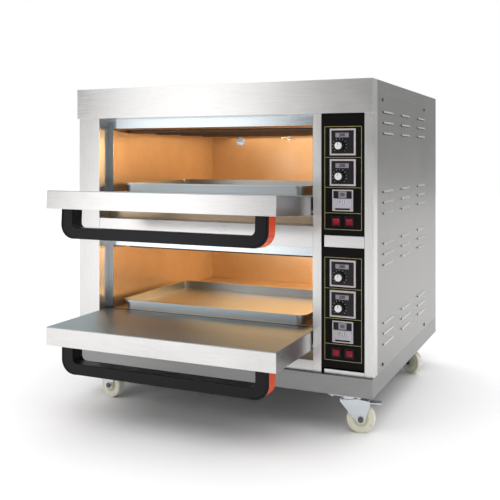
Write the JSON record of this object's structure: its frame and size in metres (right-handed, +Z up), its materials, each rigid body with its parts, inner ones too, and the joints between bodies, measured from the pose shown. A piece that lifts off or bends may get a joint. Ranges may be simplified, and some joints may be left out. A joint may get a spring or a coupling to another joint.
{
  "type": "deck oven",
  "caption": "Two-deck electric bakery oven on casters: steel cabinet, two drop-down doors shown open, U handles and a control column on the right.",
  "frame": {"origin": "on the floor, midway between the edge of the open doors and the end of the steam outlets, on the centre line of the cabinet", "axes": "+Z up, +Y from the doors to the rear cover, +X to the right as seen from the front"},
  "size_m": [0.9349, 1.0972, 0.9265],
  "materials": {
    "brushed_steel_body": "brushed along its length",
    "brushed_steel_front": "brushed, bright",
    "door_inner_steel": "brushed, bluish grey",
    "chamber_steel": "heat-tinted sheet",
    "hearth_steel": "heat-tinted plate",
    "heater": "dark oxidised tube",
    "insulation": "mineral fibre blanket",
    "sensor_steel": "polished probe",
    "lamp_glass": "clear lens",
    "bezel_grey": "satin light grey with a black face",
    "panel_black": "satin black with thin gold lines",
    "housing_black": "satin black",
    "rocker_red": "clear red",
    "knob_white": "white cap on a black skirt",
    "digit_white": "white drum",
    "handle_black": "satin black",
    "trim_orange": "orange-red",
    "zinc": "bluish zinc plate",
    "wheel_nylon": "ivory nylon",
    "tray_aluminium": "satin sheet",
    "gland_black": "black nylon",
    "gear_white": "off-white housing",
    "plate_grey": "galvanised sheet"
  },
  "bodies": {
    "root": {"base_frame": "brushed_steel_body", "left_side_panel": "brushed_steel_body", "right_side_panel": "brushed_steel_body", "rear_cover": "brushed_steel_body", "top_cover": "brushed_steel_body", "canopy": "brushed_steel_front", "left_front_post": "brushed_steel_front", "middle_front_post": "brushed_steel_front", "right_front_post": "brushed_steel_front", "front_rails": "brushed_steel_front", "control_chassis": "plate_grey", "control_strips": "brushed_steel_front", "control_panels": "panel_black", "chambers": "chamber_steel", "hearth_plates": "hearth_steel", "heating_elements": "heater", "insulation": "insulation", "thermocouples": "sensor_steel", "lamps": "lamp_glass", "thermostats": "bezel_grey", "timers": "bezel_grey", "switch_housings": "housing_black", "steam_outlets": "brushed_steel_body", "cable_gland": "gland_black", "hinge_brackets": "plate_grey", "caster_plates": "zinc", "control_gear": "gear_white", "panel_screws": "sensor_steel"},
    "door_lower": {"door_lower_shell": "brushed_steel_front", "door_lower_panel": "door_inner_steel", "door_lower_handle": "handle_black", "door_lower_trims": "trim_orange"},
    "door_upper": {"door_upper_shell": "brushed_steel_front", "door_upper_panel": "door_inner_steel", "door_upper_handle": "handle_black", "door_upper_trims": "trim_orange"},
    "tray_lower": {"tray_lower": "tray_aluminium"},
    "tray_upper": {"tray_upper": "tray_aluminium"},
    "knob_lower_top_heat": {"knob_lower_top_heat": "knob_white"},
    "knob_lower_bottom_heat": {"knob_lower_bottom_heat": "knob_white"},
    "knob_upper_top_heat": {"knob_upper_top_heat": "knob_white"},
    "knob_upper_bottom_heat": {"knob_upper_bottom_heat": "knob_white"},
    "timer_lower_tens": {"timer_lower_tens": "digit_white"},
    "timer_lower_units": {"timer_lower_units": "digit_white"},
    "timer_upper_tens": {"timer_upper_tens": "digit_white"},
    "timer_upper_units": {"timer_upper_units": "digit_white"},
    "rocker_lower_power": {"rocker_lower_power": "rocker_red"},
    "rocker_lower_lamp": {"rocker_lower_lamp": "rocker_red"},
    "rocker_upper_power": {"rocker_upper_power": "rocker_red"},
    "rocker_upper_lamp": {"rocker_upper_lamp": "rocker_red"},
    "fork_front_left": {"fork_front_left": "zinc"},
    "wheel_front_left": {"wheel_front_left": "wheel_nylon"},
    "brake_front_left": {"brake_front_left": "zinc"},
    "fork_front_right": {"fork_front_right": "zinc"},
    "wheel_front_right": {"wheel_front_right": "wheel_nylon"},
    "brake_front_right": {"brake_front_right": "zinc"},
    "fork_rear_left": {"fork_rear_left": "zinc"},
    "wheel_rear_left": {"wheel_rear_left": "wheel_nylon"},
    "fork_rear_right": {"fork_rear_right": "zinc"},
    "wheel_rear_right": {"wheel_rear_right": "wheel_nylon"}
  },
  "joints": [
    {"name": "door_lower_hinge", "type": "hinge", "parent": "root", "child": "door_lower", "pos_m": [-0.046, -0.29195, 0.2205], "axis": [-1, 0, 0], "range_deg": [0, 90]},
    {"name": "door_upper_hinge", "type": "hinge", "parent": "root", "child": "door_upper", "pos_m": [-0.046, -0.29195, 0.5765], "axis": [-1, 0, 0], "range_deg": [0, 86.5]},
    {"name": "tray_lower_slide", "type": "slide", "parent": "root", "child": "tray_lower", "axis": [0, 1, 0], "range_m": [0, 0.215]},
    {"name": "tray_upper_slide", "type": "slide", "parent": "root", "child": "tray_upper", "axis": [0, 1, 0], "range_m": [0, 0.215]},
    {"name": "knob_lower_top_heat_turn", "type": "hinge", "parent": "root", "child": "knob_lower_top_heat", "pos_m": [0.36925, -0.29545, 0.4085], "axis": [0, 1, 0], "range_deg": [0, 270]},
    {"name": "knob_lower_bottom_heat_turn", "type": "hinge", "parent": "root", "child": "knob_lower_bottom_heat", "pos_m": [0.36925, -0.29545, 0.3285], "axis": [0, 1, 0], "range_deg": [0, 270]},
    {"name": "knob_upper_top_heat_turn", "type": "hinge", "parent": "root", "child": "knob_upper_top_heat", "pos_m": [0.36925, -0.29545, 0.7525], "axis": [0, 1, 0], "range_deg": [0, 270]},
    {"name": "knob_upper_bottom_heat_turn", "type": "hinge", "parent": "root", "child": "knob_upper_bottom_heat", "pos_m": [0.36925, -0.29545, 0.6725], "axis": [0, 1, 0], "range_deg": [0, 270]},
    {"name": "timer_lower_tens_turn", "type": "hinge", "parent": "root", "child": "timer_lower_tens", "pos_m": [0.37075, -0.28895, 0.2615], "axis": [1, 0, 0], "continuous": true},
    {"name": "timer_lower_units_turn", "type": "hinge", "parent": "root", "child": "timer_lower_units", "pos_m": [0.38375, -0.28895, 0.2615], "axis": [1, 0, 0], "continuous": true},
    {"name": "timer_upper_tens_turn", "type": "hinge", "parent": "root", "child": "timer_upper_tens", "pos_m": [0.37075, -0.28895, 0.6055], "axis": [1, 0, 0], "continuous": true},
    {"name": "timer_upper_units_turn", "type": "hinge", "parent": "root", "child": "timer_upper_units", "pos_m": [0.38375, -0.28895, 0.6055], "axis": [1, 0, 0], "continuous": true},
    {"name": "rocker_lower_power_press", "type": "hinge", "parent": "root", "child": "rocker_lower_power", "pos_m": [0.35925, -0.29545, 0.2105], "axis": [1, 0, 0], "range_deg": [-16, 0]},
    {"name": "rocker_lower_lamp_press", "type": "hinge", "parent": "root", "child": "rocker_lower_lamp", "pos_m": [0.39525, -0.29545, 0.2105], "axis": [1, 0, 0], "range_deg": [-16, 0]},
    {"name": "rocker_upper_power_press", "type": "hinge", "parent": "root", "child": "rocker_upper_power", "pos_m": [0.35925, -0.29545, 0.5545], "axis": [1, 0, 0], "range_deg": [-16, 0]},
    {"name": "rocker_upper_lamp_press", "type": "hinge", "parent": "root", "child": "rocker_upper_lamp", "pos_m": [0.39525, -0.29545, 0.5545], "axis": [1, 0, 0], "range_deg": [-16, 0]},
    {"name": "swivel_front_left", "type": "hinge", "parent": "root", "child": "fork_front_left", "pos_m": [-0.384, -0.27145, 0.09], "axis": [0, 0, 1], "continuous": true},
    {"name": "roll_front_left", "type": "hinge", "parent": "fork_front_left", "child": "wheel_front_left", "pos_m": [-0.35074, -0.27852, 0.0375], "axis": [0.2079, 0.9781, 0], "continuous": true},
    {"name": "brake_front_left_press", "type": "hinge", "parent": "fork_front_left", "child": "brake_front_left", "pos_m": [-0.33314, -0.28226, 0.08], "axis": [0.2079, 0.9781, 0], "range_deg": [0, 12], "stiffness_Nm_per_rad": 0.05, "springref_deg": -2.86},
    {"name": "swivel_front_right", "type": "hinge", "parent": "root", "child": "fork_front_right", "pos_m": [0.384, -0.27145, 0.09], "axis": [0, 0, 1], "continuous": true},
    {"name": "roll_front_right", "type": "hinge", "parent": "fork_front_right", "child": "wheel_front_right", "pos_m": [0.41726, -0.26438, 0.0375], "axis": [-0.2079, 0.9781, 0], "continuous": true},
    {"name": "brake_front_right_press", "type": "hinge", "parent": "fork_front_right", "child": "brake_front_right", "pos_m": [0.43486, -0.26064, 0.08], "axis": [-0.2079, 0.9781, 0], "range_deg": [0, 12], "stiffness_Nm_per_rad": 0.05, "springref_deg": -2.86},
    {"name": "swivel_rear_left", "type": "hinge", "parent": "root", "child": "fork_rear_left", "pos_m": [-0.384, 0.35855, 0.09], "axis": [0, 0, 1], "continuous": true},
    {"name": "roll_rear_left", "type": "hinge", "parent": "fork_rear_left", "child": "wheel_rear_left", "pos_m": [-0.35033, 0.36328, 0.0375], "axis": [-0.1392, 0.9903, 0], "continuous": true},
    {"name": "swivel_rear_right", "type": "hinge", "parent": "root", "child": "fork_rear_right", "pos_m": [0.384, 0.35855, 0.09], "axis": [0, 0, 1], "continuous": true},
    {"name": "roll_rear_right", "type": "hinge", "parent": "fork_rear_right", "child": "wheel_rear_right", "pos_m": [0.41481, 0.34418, 0.0375], "axis": [0.4226, 0.9063, 0], "continuous": true}
  ]
}
